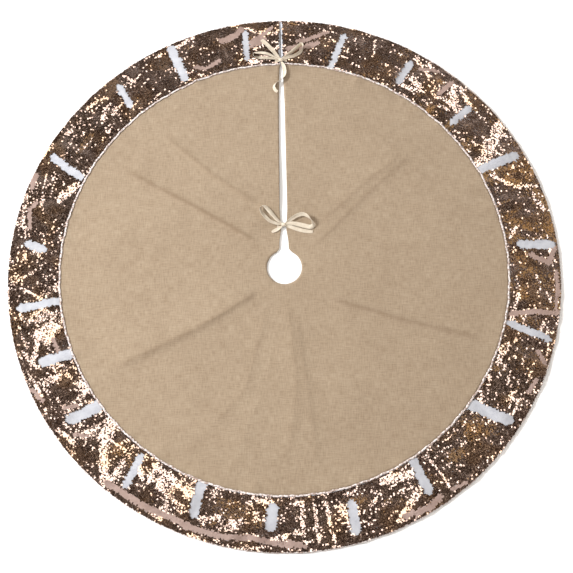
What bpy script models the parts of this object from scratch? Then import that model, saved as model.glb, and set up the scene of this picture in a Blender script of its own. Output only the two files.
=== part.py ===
"""Round tree skirt, lying flat and tied shut, made from its separate layers.

A burlap disc and a sequinned border are sewn together over a thin lining, with a
round hole for the trunk and a slit from that hole to the rim, closed by two
ribbon bows. The origin is the hole's centre on the floor, +Z is up and the slit
runs along +Y. The skirt folds in half for storage about the line y = 0, so each
layer that crosses that line is made as a front half and two back quarters.
"""

import math

import bmesh
import bpy
from mathutils import Vector

# Overall sizes, in metres.
OUTER_RADIUS = 0.610
BAND_WIDTH = 0.114
HOLE_RADIUS = 0.0385

# Layers, from the floor up.
CLEARANCE = 0.0003
LINING_THICKNESS = 0.0008
BURLAP_THICKNESS = 0.0014
BAND_THICKNESS = 0.0016
SEQUIN_THICKNESS = 0.0014

# Rim and seam.
HEM_WIDTH = 0.0035
HEM_HEIGHT = 0.0023
TRIM_WIDTH = 0.003
TRIM_HEIGHT = 0.0016
SEQUIN_MARGIN = 0.002
SLIT_MARGIN = 0.0035

# The slit, as half of the gap at each place along it.
NECK_HALF = 0.0100
NECK_RISE = 0.0046
NECK_START = 62.0
TIED_HALF = 0.0058
OPEN_HALF = 0.0085
CLOSING_HALF = 0.0065
CLOSED_HALF = 0.0015
RIM_HALF = 0.0008

# Bare stripes between the sequin panels: inner end and outer end in degrees from
# +X, then the stripe's width in metres. The cloth is eased round the rim by hand,
# so that no two stripes are spaced or slanted alike.
STRIPES = (
    (5.0, 4.0, 0.022),
    (26.5, 25.5, 0.022),
    (41.0, 41.0, 0.018),
    (58.5, 58.5, 0.018),
    (76.5, 75.0, 0.017),
    (99.0, 98.0, 0.016),
    (116.0, 115.5, 0.022),
    (132.0, 130.0, 0.018),
    (154.5, 152.5, 0.020),
    (175.5, 173.0, 0.020),
    (188.0, 188.5, 0.020),
    (202.0, 201.0, 0.024),
    (217.0, 215.0, 0.026),
    (233.0, 234.5, 0.018),
    (249.0, 250.0, 0.022),
    (266.5, 266.0, 0.026),
    (284.5, 283.5, 0.022),
    (301.5, 300.5, 0.022),
    (321.5, 324.0, 0.026),
    (344.5, 343.0, 0.018),
)

# Ribbon ties.
RIBBON_WIDTH = 0.010
RIBBON_THICKNESS = 0.0006
KNOT_HALF_LENGTH = 0.0055
KNOT_HALF_DEPTH = 0.0045
KNOT_HEIGHT = 0.0076
KNOT_ROUNDING = 0.0008
GATHERED_WIDTH = 0.0045
TAIL_WIDTH = 0.008
TIE_LENGTH = 0.009
LOOP_HEIGHT = 0.006
LOOP_SPREAD = 0.0013
LOOP_FULLNESS = 0.77
INNER_BOW_Y = 0.098
OUTER_BOW_OFFSET = 0.008

# Facets.
ARC_STEP = 3.0
LOOP_STEPS = 20
KNOT_SIDES = 20

# Sizes and levels that follow from those above.
SEAM_RADIUS = OUTER_RADIUS - BAND_WIDTH
BURLAP_RADIUS = SEAM_RADIUS - CLEARANCE / 2
BAND_INNER = SEAM_RADIUS + CLEARANCE / 2
BAND_OUTER = OUTER_RADIUS - HEM_WIDTH - CLEARANCE
LINING_RADIUS = OUTER_RADIUS - HEM_WIDTH / 2
PANEL_INNER = SEAM_RADIUS + TRIM_WIDTH / 2 + SEQUIN_MARGIN
PANEL_OUTER = BAND_OUTER - SEQUIN_MARGIN / 2
LAYER_Z = LINING_THICKNESS + CLEARANCE
BURLAP_TOP = LAYER_Z + BURLAP_THICKNESS
BAND_TOP = LAYER_Z + BAND_THICKNESS
SEQUIN_Z = BAND_TOP + CLEARANCE
SEQUIN_TOP = SEQUIN_Z + SEQUIN_THICKNESS
NECK_Y = HOLE_RADIUS + NECK_RISE
OUTER_BOW_Y = SEAM_RADIUS + OUTER_BOW_OFFSET
OUTER_BOW_Z = SEQUIN_Z + TRIM_HEIGHT + CLEARANCE

SLIT_STATIONS = (
    (NECK_Y, NECK_HALF),
    (NECK_Y + (INNER_BOW_Y - NECK_Y) * 0.3, NECK_HALF),
    (NECK_Y + (INNER_BOW_Y - NECK_Y) * 0.8, TIED_HALF),
    (INNER_BOW_Y + 0.004, TIED_HALF),
    (INNER_BOW_Y + 0.014, (TIED_HALF + OPEN_HALF) / 2),
    (INNER_BOW_Y + 0.037, OPEN_HALF),
    (SEAM_RADIUS - 0.095, CLOSING_HALF),
    (SEAM_RADIUS - 0.015, (CLOSING_HALF + CLOSED_HALF) / 2),
    (SEAM_RADIUS, CLOSED_HALF),
    (OUTER_RADIUS, RIM_HALF),
)

COLOURS = {
    "burlap": ((0.533, 0.402, 0.262), 0.95, 0.0),
    "lining": ((0.80, 0.79, 0.76), 0.85, 0.0),
    "band_cloth": ((0.74, 0.73, 0.80), 0.80, 0.0),
    "sequins": ((0.115, 0.060, 0.040), 0.25, 0.9),
    "trim": ((0.80, 0.68, 0.64), 0.60, 0.0),
    "hem": ((0.62, 0.50, 0.46), 0.70, 0.0),
    "ribbon": ((0.78, 0.69, 0.54), 0.35, 0.0),
}


def clear_scene():
    for obj in list(bpy.data.objects):
        bpy.data.objects.remove(obj, do_unlink=True)


def make_material(name, kind):
    colour, roughness, metallic = COLOURS[kind]
    material = bpy.data.materials.new(name)
    material.use_nodes = True
    shader = material.node_tree.nodes["Principled BSDF"]
    shader.inputs["Base Color"].default_value = (*colour, 1.0)
    shader.inputs["Roughness"].default_value = roughness
    shader.inputs["Metallic"].default_value = metallic
    return material


def make_object(name, shape, kind):
    """An object from a finished bmesh, with its faces turned outwards."""
    bmesh.ops.recalc_face_normals(shape, faces=shape.faces)
    mesh = bpy.data.meshes.new(name)
    shape.to_mesh(mesh)
    shape.free()
    mesh.materials.append(make_material(name, kind))
    obj = bpy.data.objects.new(name, mesh)
    bpy.context.scene.collection.objects.link(obj)
    return obj


def make_slab(name, outline, low, high, kind):
    """A flat sheet: the outline as one face, extruded from low to high."""
    shape = bmesh.new()
    face = shape.faces.new([shape.verts.new((x, y, low)) for x, y in outline])
    extruded = bmesh.ops.extrude_face_region(shape, geom=[face])
    top = [item for item in extruded["geom"] if isinstance(item, bmesh.types.BMVert)]
    bmesh.ops.translate(shape, verts=top, vec=(0, 0, high - low))
    return make_object(name, shape, kind)


def make_sweep(name, profile, degrees, kind):
    """A bead: a closed profile of (radius, height) carried round the Z axis."""
    shape = bmesh.new()
    rings = []
    for angle in degrees:
        rings.append([shape.verts.new((*polar(r, angle), z)) for r, z in profile])
    for ring, following in zip(rings, rings[1:]):
        for i in range(len(profile)):
            j = (i + 1) % len(profile)
            shape.faces.new((ring[i], ring[j], following[j], following[i]))
    shape.faces.new(rings[0])
    shape.faces.new(rings[-1])
    obj = make_object(name, shape, kind)
    obj.data.shade_smooth()
    obj.data.set_sharp_from_angle(angle=math.radians(40))
    return obj


def make_strip(name, points, widths, thickness, kind):
    """A flat ribbon along 3-D points, as wide at each point as its width says."""
    shape = bmesh.new()
    flat = [Vector((x, y, 0)) for x, y, _ in points]
    sections = []
    for i, (_, _, z) in enumerate(points):
        along = flat[min(i + 1, len(flat) - 1)] - flat[max(i - 1, 0)]
        across = Vector((-along.y, along.x, 0)).normalized() * widths[i] / 2
        corners = []
        for side, height in ((-1, z), (1, z), (1, z + thickness), (-1, z + thickness)):
            corner = flat[i] + across * side
            corners.append(shape.verts.new((corner.x, corner.y, height)))
        sections.append(corners)
    for section, following in zip(sections, sections[1:]):
        for i in range(4):
            j = (i + 1) % 4
            shape.faces.new((section[i], section[j], following[j], following[i]))
    shape.faces.new(sections[0])
    shape.faces.new(sections[-1])
    return make_object(name, shape, kind)


def polar(radius, degrees):
    angle = math.radians(degrees)
    return (radius * math.cos(angle), radius * math.sin(angle))


def steps_between(start, end):
    """start, each whole multiple of ARC_STEP between, and end, in either order."""
    low, high = min(start, end), max(start, end)
    first = math.floor(low / ARC_STEP) + 1
    last = math.ceil(high / ARC_STEP) - 1
    inner = [k * ARC_STEP for k in range(first, last + 1)]
    inner = [angle for angle in inner if low + 0.05 < angle < high - 0.05]
    degrees = [low, *inner, high]
    return degrees if start < end else degrees[::-1]


def arc(radius, start, end):
    return [polar(radius, angle) for angle in steps_between(start, end)]


def fold_angle(radius):
    """Degrees from the fold line at which a piece stops, half a clearance short."""
    return math.degrees(math.asin(CLEARANCE / 2 / radius))


def slit_half(y):
    """Half of the slit's gap at a distance y from the hole's centre."""
    for (y0, half0), (y1, half1) in zip(SLIT_STATIONS, SLIT_STATIONS[1:]):
        if y <= y1:
            share = (y - y0) / (y1 - y0)
            return half0 + (half1 - half0) * share
    return SLIT_STATIONS[-1][1]


def slit_angle(radius, margin=0.0):
    """Degrees from +X at which the right flap's slit edge crosses a radius."""
    return 90 - math.degrees(math.asin((slit_half(radius) + margin) / radius))


def slit_edge(outer, inner):
    """The right flap's slit edge, from the outer radius down to the inner one."""
    return [(half, y) for y, half in reversed(SLIT_STATIONS) if inner < y < outer]


def mirrored(outline):
    return [(-x, y) for x, y in reversed(outline)]


def front_half(outer, inner):
    start, end = 180 + fold_angle(outer), 360 - fold_angle(outer)
    back_start, back_end = 360 - fold_angle(inner), 180 + fold_angle(inner)
    return arc(outer, start, end) + arc(inner, back_start, back_end)


def back_quarter_to_hole(outer):
    """The right back quarter of a layer that reaches in to the trunk hole."""
    outline = arc(outer, fold_angle(outer), slit_angle(outer))
    outline += slit_edge(outer, NECK_Y - CLEARANCE)
    return outline + arc(HOLE_RADIUS, NECK_START, fold_angle(HOLE_RADIUS))


def back_quarter_of_band(outer, inner):
    outline = arc(outer, fold_angle(outer), slit_angle(outer))
    return outline + arc(inner, slit_angle(inner), fold_angle(inner))


def make_layer(layer, kind, front, right, low, high):
    """One layer of the skirt, as its front half and its two back quarters."""
    make_slab(layer + "_front", front, low, high, kind)
    make_slab(layer + "_back_right", right, low, high, kind)
    make_slab(layer + "_back_left", mirrored(right), low, high, kind)


def make_ring(layer, kind, profile):
    """A bead round the skirt, cut at the fold line and at the slit."""
    radius = min(r for r, _ in profile)
    fold = fold_angle(radius)
    slit = slit_angle(radius)
    make_sweep(layer + "_front", profile, steps_between(180 + fold, 360 - fold), kind)
    make_sweep(layer + "_back_right", profile, steps_between(fold, slit), kind)
    make_sweep(layer + "_back_left", profile, steps_between(180 - slit, 180 - fold), kind)


def make_cloth():
    burlap = front_half(BURLAP_RADIUS, HOLE_RADIUS)
    lining = front_half(LINING_RADIUS, HOLE_RADIUS)
    band = front_half(BAND_OUTER, BAND_INNER)
    lining_right = back_quarter_to_hole(LINING_RADIUS)
    make_layer("lining", "lining", lining, lining_right, 0, LINING_THICKNESS)
    burlap_right = back_quarter_to_hole(BURLAP_RADIUS)
    make_layer("burlap", "burlap", burlap, burlap_right, LAYER_Z, BURLAP_TOP)
    band_right = back_quarter_of_band(BAND_OUTER, BAND_INNER)
    make_layer("band_cloth", "band_cloth", band, band_right, LAYER_Z, BAND_TOP)


def make_edges():
    """The pale trim over the burlap's seam, and the hem rolled round the rim."""
    low, middle = SEQUIN_Z, SEQUIN_Z + TRIM_HEIGHT * 0.6
    half = TRIM_WIDTH / 2
    trim = (
        (SEAM_RADIUS - half, low),
        (SEAM_RADIUS + half, low),
        (SEAM_RADIUS + half, middle),
        (SEAM_RADIUS + half / 2, low + TRIM_HEIGHT),
        (SEAM_RADIUS - half / 2, low + TRIM_HEIGHT),
        (SEAM_RADIUS - half, middle),
    )
    make_ring("seam_trim", "trim", trim)
    inner, round_off = OUTER_RADIUS - HEM_WIDTH, HEM_HEIGHT * 0.3
    hem = (
        (inner, LAYER_Z),
        (OUTER_RADIUS - round_off, LAYER_Z),
        (OUTER_RADIUS, LAYER_Z + round_off),
        (OUTER_RADIUS, LAYER_Z + HEM_HEIGHT - round_off),
        (OUTER_RADIUS - round_off, LAYER_Z + HEM_HEIGHT),
        (inner, LAYER_Z + HEM_HEIGHT),
    )
    make_ring("hem", "hem", hem)


def panel_limits():
    """Where each sequin panel starts and ends, as (inner, outer) degrees."""
    limits = []
    for inner, outer, width in STRIPES:
        half_inner = math.degrees(math.asin(width / 2 / PANEL_INNER))
        half_outer = math.degrees(math.asin(width / 2 / PANEL_OUTER))
        limits.append((inner - half_inner, outer - half_outer))
        limits.append((inner + half_inner, outer + half_outer))
    slit = [slit_angle(r, SLIT_MARGIN) for r in (PANEL_INNER, PANEL_OUTER)]
    fold = [fold_angle(r) for r in (PANEL_INNER, PANEL_OUTER)]
    limits += [tuple(slit), (180 - slit[0], 180 - slit[1])]
    limits += [tuple(fold), (180 - fold[0], 180 - fold[1])]
    limits += [(180 + fold[0], 180 + fold[1]), (360 - fold[0], 360 - fold[1])]
    return sorted(limits)


def make_sequin_panels():
    """The panels between the stripes, counted anticlockwise from the fold line."""
    limits = panel_limits()
    for number, (start, end) in enumerate(zip(limits[::2], limits[1::2]), 1):
        outline = arc(PANEL_OUTER, start[1], end[1]) + arc(PANEL_INNER, end[0], start[0])
        name = f"sequin_panel_{number:02d}"
        make_slab(name, outline, SEQUIN_Z, SEQUIN_TOP, "sequins")


def knot_reach(direction):
    """How far from the knot's centre a ribbon starts, in this direction."""
    along = direction.normalized()
    squared = (along.x / KNOT_HALF_LENGTH) ** 2 + (along.y / KNOT_HALF_DEPTH) ** 2
    return 1 / math.sqrt(squared) + CLEARANCE


def make_knot(name, y, base):
    """The knot, as an oval drum with its two rims rounded over."""
    shape = bmesh.new()
    bmesh.ops.create_cone(
        shape, cap_ends=True, segments=KNOT_SIDES, radius1=1, radius2=1, depth=1
    )
    size = (KNOT_HALF_LENGTH, KNOT_HALF_DEPTH, KNOT_HEIGHT)
    bmesh.ops.scale(shape, vec=size, verts=shape.verts)
    bmesh.ops.translate(shape, vec=(0, y, base + KNOT_HEIGHT / 2), verts=shape.verts)
    knot = make_object(name, shape, "ribbon")
    rounding = knot.modifiers.new("Rounding", "BEVEL")
    rounding.width = KNOT_ROUNDING
    rounding.segments = 2
    rounding.limit_method = "ANGLE"
    rounding.angle_limit = math.radians(60)
    knot.data.shade_smooth()


def make_loop(name, y, tip, width, base):
    """A ribbon loop on edge, from the knot out to tip and back, as a teardrop."""
    along = Vector(tip).normalized()
    across = Vector((-along.y, along.x))
    start = knot_reach(along)
    length = Vector(tip).length - start
    centre_line = []
    for k in range(LOOP_STEPS + 1):
        turn = math.pi * (2 * k / LOOP_STEPS - 1)
        out = (1 + math.cos(turn)) / 2
        side = LOOP_SPREAD * (1 - 2 * k / LOOP_STEPS)
        side -= width * LOOP_FULLNESS * math.sin(turn) * out
        centre_line.append(along * (start + length * out) + across * side)
    outer, inner = [], []
    for i, point in enumerate(centre_line):
        ahead = centre_line[min(i + 1, LOOP_STEPS)] - centre_line[max(i - 1, 0)]
        wall = Vector((-ahead.y, ahead.x)).normalized() * RIBBON_THICKNESS / 2
        outer.append((point.x + wall.x, point.y + wall.y + y))
        inner.append((point.x - wall.x, point.y - wall.y + y))
    make_slab(name, outer + inner[::-1], base, base + LOOP_HEIGHT, "ribbon")


def make_tie(name, side, y, base):
    """The stretch of ribbon from its stitching on one flap to the knot."""
    start = knot_reach(Vector((side, 0)))
    points = [(side * (start + TIE_LENGTH), y, base), (side * start, y, base)]
    widths = (RIBBON_WIDTH, GATHERED_WIDTH)
    make_strip(name, points, widths, RIBBON_THICKNESS, "ribbon")


def make_tail(name, y, base, points):
    """A loose end, gathered at the knot. Its heights are measured from base."""
    first = Vector(points[0][:2])
    start = first.normalized() * knot_reach(first)
    route = [(start.x, y + start.y, base)]
    route += [(px, y + py, base + pz) for px, py, pz in points]
    widths = [GATHERED_WIDTH] + [TAIL_WIDTH] * len(points)
    make_strip(name, route, widths, RIBBON_THICKNESS, "ribbon")


def make_bow(place, y, base, loops, tails):
    """A tied bow: ties at the bottom, then tails, loops, and the knot through all."""
    layer = RIBBON_THICKNESS + CLEARANCE
    make_knot(place + "_knot", y, base)
    for side, word in ((-1, "left"), (1, "right")):
        make_tie(f"{place}_tie_{word}", side, y, base)
        make_tail(f"{place}_tail_{word}", y, base + layer, tails[word])
        tip, width = loops[word]
        make_loop(f"{place}_loop_{word}", y, tip, width, base + 2 * layer)


def make_bows():
    """Both bows. Loop tips and tail points are measured from their knot."""
    inner_loops = {"left": ((-0.053, 0.041), 0.017), "right": ((0.066, 0.000), 0.024)}
    inner_tails = {
        "left": ((-0.015, -0.009, 0), (-0.028, -0.014, 0)),
        "right": ((0.030, -0.012, 0), (0.062, -0.016, 0)),
    }
    base = BURLAP_TOP + CLEARANCE
    make_bow("inner_bow", INNER_BOW_Y, base, inner_loops, inner_tails)

    outer_loops = {"left": ((-0.066, 0.014), 0.016), "right": ((0.052, 0.030), 0.020)}
    on_panel = SEQUIN_TOP + CLEARANCE - OUTER_BOW_Z - RIBBON_THICKNESS - CLEARANCE
    on_burlap = on_panel + BURLAP_TOP - SEQUIN_TOP
    outer_tails = {
        "left": ((-0.014, 0.019, on_panel), (-0.043, 0.055, on_panel)),
        "right": (
            (0.006, -0.016, 0),
            (0.0085, -0.034, on_burlap),
            (0.004, -0.048, on_burlap),
            (-0.008, -0.056, on_burlap),
            (-0.015, -0.065, on_burlap),
            (-0.013, -0.076, on_burlap),
        ),
    }
    make_bow("outer_bow", OUTER_BOW_Y, OUTER_BOW_Z, outer_loops, outer_tails)


clear_scene()
make_cloth()
make_edges()
make_sequin_panels()
make_bows()
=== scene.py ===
"""A round tree skirt of burlap with a wide sequinned border, laid flat and tied shut."""

import math

import bpy
import numpy as np
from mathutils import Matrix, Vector, noise


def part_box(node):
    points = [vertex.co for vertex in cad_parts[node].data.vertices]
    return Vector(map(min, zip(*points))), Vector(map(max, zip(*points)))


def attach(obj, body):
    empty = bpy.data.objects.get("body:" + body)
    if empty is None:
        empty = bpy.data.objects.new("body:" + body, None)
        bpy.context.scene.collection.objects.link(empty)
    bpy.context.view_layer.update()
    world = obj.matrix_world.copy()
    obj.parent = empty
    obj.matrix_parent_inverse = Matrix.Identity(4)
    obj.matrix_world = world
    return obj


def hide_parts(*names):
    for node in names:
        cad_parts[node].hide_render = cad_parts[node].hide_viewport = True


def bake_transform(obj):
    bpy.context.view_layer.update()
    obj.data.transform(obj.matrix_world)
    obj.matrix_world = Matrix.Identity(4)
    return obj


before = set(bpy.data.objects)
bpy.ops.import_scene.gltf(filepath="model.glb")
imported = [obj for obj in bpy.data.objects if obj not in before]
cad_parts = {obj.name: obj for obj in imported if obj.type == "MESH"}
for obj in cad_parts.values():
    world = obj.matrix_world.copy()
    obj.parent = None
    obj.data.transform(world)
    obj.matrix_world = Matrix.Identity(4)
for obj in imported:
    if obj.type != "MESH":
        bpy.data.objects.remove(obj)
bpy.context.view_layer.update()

# ---------------------------------------------------------------------------
# Camera and studio. The skirt is seen from almost straight above, a little from its
# front, on a pale floor. A window lights it from the left. For the sequins to mirror
# there are pale walls, a dark mottled ceiling, a softbox and an amber panel.
# ---------------------------------------------------------------------------
LENS = 61.3
CAMERA_DISTANCE = 2.148
CAMERA_TILT = math.radians(15.4)
CAMERA_TURN = math.radians(0.95)
CAMERA_AIM = Vector((0.004, -0.0438, 0.0))


def aimed_at(obj, target):
    obj.rotation_euler = (Vector(target) - obj.location).to_track_quat("-Z", "Y").to_euler()


heading = Vector((math.sin(CAMERA_TURN), math.cos(CAMERA_TURN), 0))
camera = bpy.data.objects.new("camera", bpy.data.cameras.new("camera"))
bpy.context.scene.collection.objects.link(camera)
camera.data.lens = LENS
camera.location = CAMERA_AIM - heading * CAMERA_DISTANCE * math.sin(CAMERA_TILT)
camera.location.z = CAMERA_DISTANCE * math.cos(CAMERA_TILT)
aimed_at(camera, CAMERA_AIM)
bpy.context.scene.camera = camera


class Wire:
    """A value in a shader. Arithmetic on it adds the Math nodes."""

    def __init__(self, look, socket):
        self.look = look
        self.socket = socket

    def math(self, operation, *others):
        values = dict(enumerate((self, *others)))
        return self.look.node("ShaderNodeMath", {"operation": operation}, values)

    def __add__(self, other):
        return self.math("ADD", other)

    def __rsub__(self, other):
        return self.look.node("ShaderNodeMath", {"operation": "SUBTRACT"}, {0: other, 1: self})

    def __mul__(self, other):
        return self.math("MULTIPLY", other)

    def clipped(self, low, high):
        """0 up to low, 1 from high, and even between."""
        return self.look.node(
            "ShaderNodeMapRange", {}, {"Value": self, "From Min": low, "From Max": high}
        )


class Look:
    """A material, and the one way that its nodes are added."""

    def __init__(self, name, base, roughness, **constants):
        self.material = bpy.data.materials.new(name)
        self.material.use_nodes = True
        self.material.diffuse_color = (*base, 1)
        self.tree = self.material.node_tree
        self.shader = self.tree.nodes["Principled BSDF"]
        self.set("Base Color", base)
        self.set("Roughness", roughness)
        for name, value in constants.items():
            self.set(name.replace("_", " ").title(), value)

    def fill(self, socket, value):
        if isinstance(value, Wire):
            self.tree.links.new(value.socket, socket)
        elif hasattr(value, "__len__") and len(value) == 3 and socket.type == "RGBA":
            socket.default_value = (*value, 1)
        else:
            socket.default_value = value

    def set(self, name, value):
        self.fill(self.shader.inputs[name], value)

    def node(self, kind, settings, values, output=0):
        node = self.tree.nodes.new(kind)
        for name, value in settings.items():
            setattr(node, name, value)
        for name, value in values.items():
            self.fill(node.inputs[name], value)
        return Wire(self, node.outputs[output])

    def place(self):
        """The point on the piece, in metres."""
        return self.node("ShaderNodeTexCoord", {}, {}, "Object")

    def stretched(self, vector, scale):
        """A place scaled along each axis, for a pattern that runs one way."""
        values = {0: vector, 1: scale}
        return self.node("ShaderNodeVectorMath", {"operation": "MULTIPLY"}, values)

    def noise(self, vector, scale, detail=2.0):
        values = {"Vector": vector, "Scale": scale, "Detail": detail}
        return self.node("ShaderNodeTexNoise", {}, values)

    def blend(self, share, first, second):
        settings = {"data_type": "RGBA"}
        values = {"Factor": share, 6: first, 7: second}
        return self.node("ShaderNodeMix", settings, values, 2)

    def bump(self, height, strength, distance):
        values = {"Height": height, "Strength": strength, "Distance": distance}
        self.set("Normal", self.node("ShaderNodeBump", {}, values))


FLOOR_SIZE = 60.0
FLOOR_DROP = 0.0004
FLOOR_WHITE = (0.90, 0.90, 0.90)
FLOOR_PALE = (0.92, 0.92, 0.92)

bpy.ops.object.select_all(action="DESELECT")
bpy.ops.mesh.primitive_plane_add(size=FLOOR_SIZE, location=(0, 0, -FLOOR_DROP))
floor = bpy.context.active_object
floor.name = "floor"
floor_look = Look("floor_paint", FLOOR_WHITE, 0.9)
mottle = floor_look.noise(floor_look.place(), 3.0)
floor_look.set("Base Color", floor_look.blend(mottle, FLOOR_WHITE, FLOOR_PALE))
floor.data.materials.append(floor_look.material)


def add_lamp(name, place, watts, size, colour):
    """A square lamp aimed at the skirt, which the camera doesn't see."""
    lamp = bpy.data.lights.new(name, "AREA")
    lamp.energy = watts
    lamp.size = size
    lamp.color = colour
    stand = bpy.data.objects.new(name, lamp)
    bpy.context.scene.collection.objects.link(stand)
    stand.location = place
    stand.visible_camera = False
    aimed_at(stand, (0, 0, 0))
    return stand


SOFTBOX = Vector((-0.55, 0.05, 2.6))
AMBER_PANEL = Vector((1.30, 0.95, 2.4))
WINDOW = Vector((-3.7, 0.9, 2.5))
NEUTRAL = (1, 1, 1)
AMBER = (1.0, 0.79, 0.42)
DAYLIGHT = (0.97, 1.0, 1.03)
add_lamp("softbox", SOFTBOX, watts=20, size=0.95, colour=NEUTRAL)
add_lamp("amber_panel", AMBER_PANEL, watts=2.3, size=0.8, colour=AMBER)
window = add_lamp("window", WINDOW, watts=312, size=1.0, colour=DAYLIGHT)
window.visible_glossy = False

# The walls fade with height, and the ceiling is mottled. Each row is a place along
# its ramp and the colour there.
WALLS = ((0.25, (1.1, 1.1, 1.1)), (0.72, (0, 0, 0)))
CEILING = (
    (0.42, (0.070, 0.053, 0.042)),
    (0.54, (0.22, 0.175, 0.14)),
    (0.62, (0.90, 0.82, 0.72)),
    (0.68, (1.5, 1.4, 1.3)),
)
CEILING_SCALE = 9.0

world = bpy.data.worlds.new("studio")
world.use_nodes = True
bpy.context.scene.world = world
sky = world.node_tree


def add_ramp(rows, source):
    """A colour that follows the rows as a value goes from 0 to 1."""
    node = sky.nodes.new("ShaderNodeValToRGB")
    ends = node.color_ramp.elements
    ends[0].position, ends[0].color = rows[0][0], (*rows[0][1], 1)
    ends[1].position, ends[1].color = rows[-1][0], (*rows[-1][1], 1)
    for place, colour in rows[1:-1]:
        node.color_ramp.elements.new(place).color = (*colour, 1)
    sky.links.new(source, node.inputs["Fac"])
    return node.outputs["Color"]


direction = sky.nodes.new("ShaderNodeTexCoord").outputs["Generated"]
height = sky.nodes.new("ShaderNodeSeparateXYZ")
mottling = sky.nodes.new("ShaderNodeTexNoise")
mottling.inputs["Scale"].default_value = CEILING_SCALE
both = sky.nodes.new("ShaderNodeVectorMath")
sky.links.new(direction, height.inputs["Vector"])
sky.links.new(direction, mottling.inputs["Vector"])
sky.links.new(add_ramp(WALLS, height.outputs["Z"]), both.inputs[0])
sky.links.new(add_ramp(CEILING, mottling.outputs["Fac"]), both.inputs[1])
sky.links.new(both.outputs[0], sky.nodes["Background"].inputs["Color"])
bpy.context.scene.view_settings.view_transform = "Standard"

# ---------------------------------------------------------------------------
# Lining: thin off-white cloth under the whole skirt, sewn in at the rim, the hole
# and the slit. It shows inside the hole and from below. It sets the lie that
# every other layer follows: flat on the floor but for a few folds and ripples.
# ---------------------------------------------------------------------------
LINING_WHITE = (0.54, 0.53, 0.51)
LINING_SHADE = (0.47, 0.46, 0.44)


def reach_of(node):
    """A node's least and greatest distance from the middle of the hole."""
    points = np.array([vertex.co[:2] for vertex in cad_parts[node].data.vertices])
    radii = np.hypot(points[:, 0], points[:, 1])
    return radii.min(), radii.max()


HOLE = reach_of("burlap_front")[0]
SEAM = reach_of("burlap_front")[1]
BAND_OUTER = reach_of("band_cloth_front")[1]
RIM = reach_of("hem_front")[1]
LINING_OUTER = reach_of("lining_front")[1]
cut_edge = sorted(
    (vertex.co.y, vertex.co.x)
    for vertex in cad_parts["lining_back_right"].data.vertices
    if 0 < vertex.co.x < 0.019 and vertex.co.y > 0.03
)
CUT_RADII = np.array([math.hypot(x, y) for y, x in cut_edge])
CUT_HALVES = np.array([x for _, x in cut_edge])

# Creases from the way it was folded in its packet. Each is a run of points in
# millimetres from the middle of the hole, then the height of its step, how far the
# cloth takes to fall back on its left side and on its right, and how dark its painted shade is.
CREASES = (
    ((-367, 241), (-191, 141), (-50, 55), 3.4, 80, 8, 0.42),
    ((-272, 322), (-170, 232), (-60, 150), 2.4, 40, 8, 0.32),
    ((-50, -50), (-190, -135), (-380, -225), 5.0, 8, 80, 0.30),
    ((60, 40), (180, 160), (300, 270), 1.8, 60, 8, 0.26),
    ((85, 105), (190, 200), (270, 262), 1.3, 18, 7, 0.20),
    ((430, -170), (260, -125), (90, -70), 3.2, 50, 8, 0.38),
    ((-36, -80), (-88, -273), (-220, -419), 2.0, 12, 70, 0.12),
    ((-60, -290), (-110, -420), (-120, -470), 1.4, 12, 30, 0.0),
    ((8, -80), (23, -258), (0, -442), 1.8, 12, 40, 0.14),
    ((66, -442), (52, -319), (24, -120), 1.9, 60, 9, 0.12),
    ((-440, 90), (-330, 60), (-250, -30), 0.9, 40, 14, 0.04),
    ((-300, 150), (-280, 20), (-330, -90), 0.7, 30, 12, 0.04),
    ((150, -420), (300, -330), (400, -300), 1.8, 14, 60, 0.06),
    ((-150, -240), (-230, -330), (-250, -400), 0.9, 14, 40, 0.0),
    ((20, 470), (60, 400), (50, 300), 0.8, 30, 14, 0.06),
)
CREASE_TOP = 0.003
CREASE_FADE = 0.10
# How far the painted shade spreads either side of a crease.
CREASE_SHADE_WIDTH = 0.0055
# Ripples where the border is eased round the rim: how many go round, how far each
# leans as it runs outwards, its height, and where it starts.
RIPPLES = (
    (29, 9.0, 0.0010, 0.4),
    (41, -14.0, 0.0012, 2.1),
    (56, 22.0, 0.0009, 4.0),
    (73, -31.0, 0.0007, 1.2),
    (97, 40.0, 0.0005, 5.2),
    (17, 70.0, 0.0009, 0.9),
)
# Billows over the disc: how fast each wave turns to the east and to the north, in
# radians a metre, its height, and where it starts.
BILLOWS = (
    (15, 7, 0.0007, 0.7),
    (-10, 22, 0.0006, 2.9),
    (33, -18, 0.0004, 5.0),
    (41, 37, 0.0003, 1.7),
)
# The cloth lies flat beside the hole and the fold line, and the border is eased up a
# little. A soft floor keeps the lie above the ground.
FLAT_ROUND_HOLE = 0.10
CALM_FROM, CALM_OVER, CALMED = 0.36, 0.12, 0.75
EASED_HEIGHT = 0.0016
SOFT_FLOOR = 0.0008
FLAT_BESIDE_FOLD, FOLD_SHARE = 0.07, 0.25


def eased(value):
    value = np.clip(value, 0, 1)
    return value * value * (3 - 2 * value)


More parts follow.
